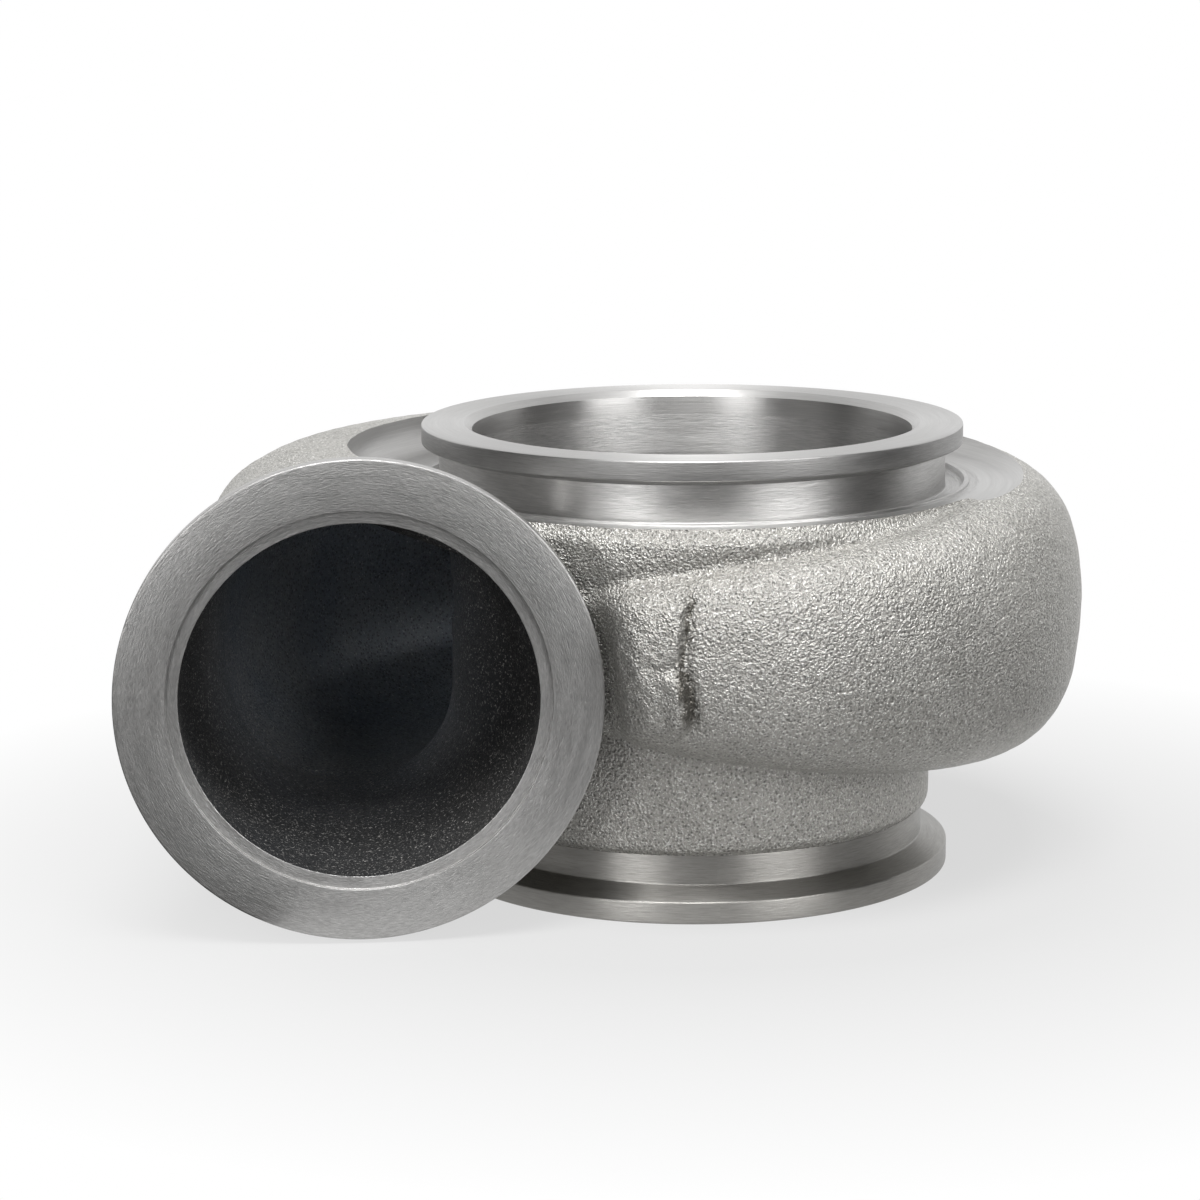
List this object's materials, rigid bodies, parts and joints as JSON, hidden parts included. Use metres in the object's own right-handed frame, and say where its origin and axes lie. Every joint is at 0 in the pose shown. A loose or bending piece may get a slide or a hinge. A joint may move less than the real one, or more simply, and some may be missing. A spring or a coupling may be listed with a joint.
{
  "type": "turbine housing",
  "caption": "Cast turbine housing with a growing scroll, a tangential inlet, and round V-band flanges at the inlet, the outlet and the bearing side.",
  "frame": {"origin": "centre of the outlet face on the wheel axis", "axes": "+Z along the wheel axis towards the bearing side; -Y is the way the inlet faces; +X points away from the inlet run"},
  "size_m": [0.1679, 0.1389, 0.0798],
  "materials": {
    "as_cast": "shot-blasted as-cast skin with a coarse sand grain",
    "turned": "bright turned surface with fine concentric tool marks"
  },
  "bodies": {
    "root": {"outlet_flange": "turned", "outlet_neck": "as_cast", "wheel_shroud": "as_cast", "shield_shoulder": "turned", "bearing_wall": "as_cast", "bearing_neck": "turned", "bearing_flange": "turned", "scroll_start_lower": "as_cast", "scroll_start_upper": "as_cast", "scroll_back_lower": "as_cast", "scroll_back_upper": "as_cast", "scroll_end_lower": "as_cast", "scroll_end_upper": "as_cast", "runner_lower": "as_cast", "runner_upper": "as_cast", "inlet_neck": "turned", "inlet_flange": "turned"}
  },
  "joints": []
}
